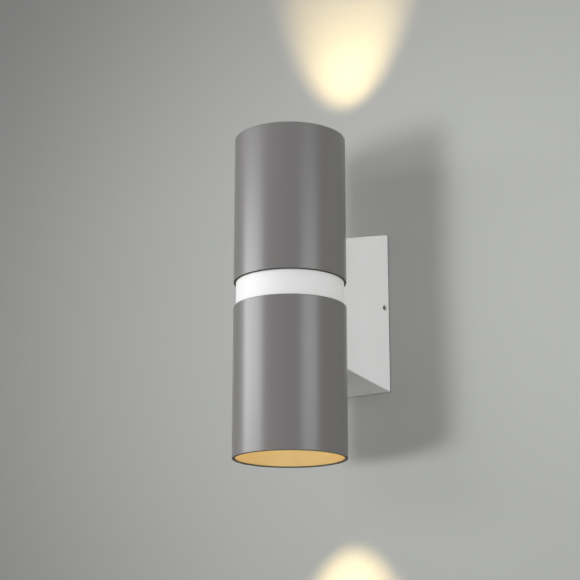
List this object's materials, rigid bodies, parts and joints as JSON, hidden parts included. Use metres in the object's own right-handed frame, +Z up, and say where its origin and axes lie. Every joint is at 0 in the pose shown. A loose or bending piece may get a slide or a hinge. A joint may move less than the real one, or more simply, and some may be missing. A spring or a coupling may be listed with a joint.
{
  "type": "up and down outdoor wall light",
  "caption": "Wall light with an upper and a lower grey tube on a white collar, held off the wall by a tapered white housing; gold-lined mouths shine up and down.",
  "frame": {"origin": "on the wall plane, at the middle of the wall plate's back face, level with the collar's mid-height", "axes": "+Z up along the tubes, +Y into the wall, +X to the right for a viewer who faces the wall"},
  "size_m": [0.06, 0.09, 0.1744],
  "materials": {
    "grey_coat": "satin grey powder coat",
    "white_coat": "fine white powder coat",
    "gold_anodised": "satin gold anodised",
    "zinc_steel": "zinc plated",
    "steel_screw": "stainless, machined",
    "brass": "turned",
    "black_rubber": "moulded",
    "clear_silicone": "moulded, translucent grey",
    "lead_silicone": "silicone sleeve",
    "terminal_plastic": "moulded",
    "white_ceramic": "unglazed",
    "lamp_shell": "moulded",
    "lamp_lens": "frosted lens",
    "clear_glass": "polished"
  },
  "bodies": {
    "wall_mount": {"wall_plate": "zinc_steel", "cable_grommet": "black_rubber", "earth_stud": "brass", "earth_washer": "brass", "earth_nut": "brass"},
    "fixture": {"housing": "white_coat", "housing_gasket": "black_rubber", "set_screws": "steel_screw", "collar": "white_coat", "collar_screws": "steel_screw", "wire_grommet": "black_rubber", "terminal_block": "terminal_plastic", "terminal_screws": "steel_screw", "terminal_fixing_screw": "steel_screw", "upper_tube": "grey_coat", "upper_collar_seal": "black_rubber", "upper_tube_grommet": "black_rubber", "upper_tube_screws": "steel_screw", "upper_holder_bracket": "zinc_steel", "upper_lampholder": "white_ceramic", "upper_lampholder_contacts": "brass", "upper_lampholder_screws": "steel_screw", "upper_leads": "lead_silicone", "upper_glass_seal": "clear_silicone", "upper_glass": "clear_glass", "lower_tube": "grey_coat", "lower_collar_seal": "black_rubber", "lower_tube_grommet": "black_rubber", "lower_tube_screws": "steel_screw", "lower_holder_bracket": "zinc_steel", "lower_lampholder": "white_ceramic", "lower_lampholder_contacts": "brass", "lower_lampholder_screws": "steel_screw", "lower_leads": "lead_silicone", "lower_glass_seal": "clear_silicone", "lower_glass": "clear_glass"},
    "upper_lamp": {"upper_lamp_body": "lamp_shell", "upper_lamp_lens": "lamp_lens", "upper_lamp_pins": "brass"},
    "upper_trim": {"upper_reflector": "gold_anodised", "upper_reflector_band": "clear_silicone"},
    "lower_lamp": {"lower_lamp_body": "lamp_shell", "lower_lamp_lens": "lamp_lens", "lower_lamp_pins": "brass"},
    "lower_trim": {"lower_reflector": "gold_anodised", "lower_reflector_band": "clear_silicone"}
  },
  "joints": [
    {"name": "fixture_pull_off", "type": "slide", "parent": "wall_mount", "child": "fixture", "axis": [0, -1, 0], "range_m": [0, 0.04]},
    {"name": "upper_lamp_twist", "type": "hinge", "parent": "fixture", "child": "upper_lamp", "pos_m": [0, -0.06, 0], "axis": [0, 0, 1], "range_deg": [0, 30]},
    {"name": "upper_trim_pull", "type": "slide", "parent": "fixture", "child": "upper_trim", "axis": [0, 0, 1], "range_m": [0, 0.03]},
    {"name": "lower_lamp_twist", "type": "hinge", "parent": "fixture", "child": "lower_lamp", "pos_m": [0, -0.06, 0], "axis": [0, 0, -1], "range_deg": [0, 30]},
    {"name": "lower_trim_pull", "type": "slide", "parent": "fixture", "child": "lower_trim", "axis": [0, 0, -1], "range_m": [0, 0.03]}
  ]
}
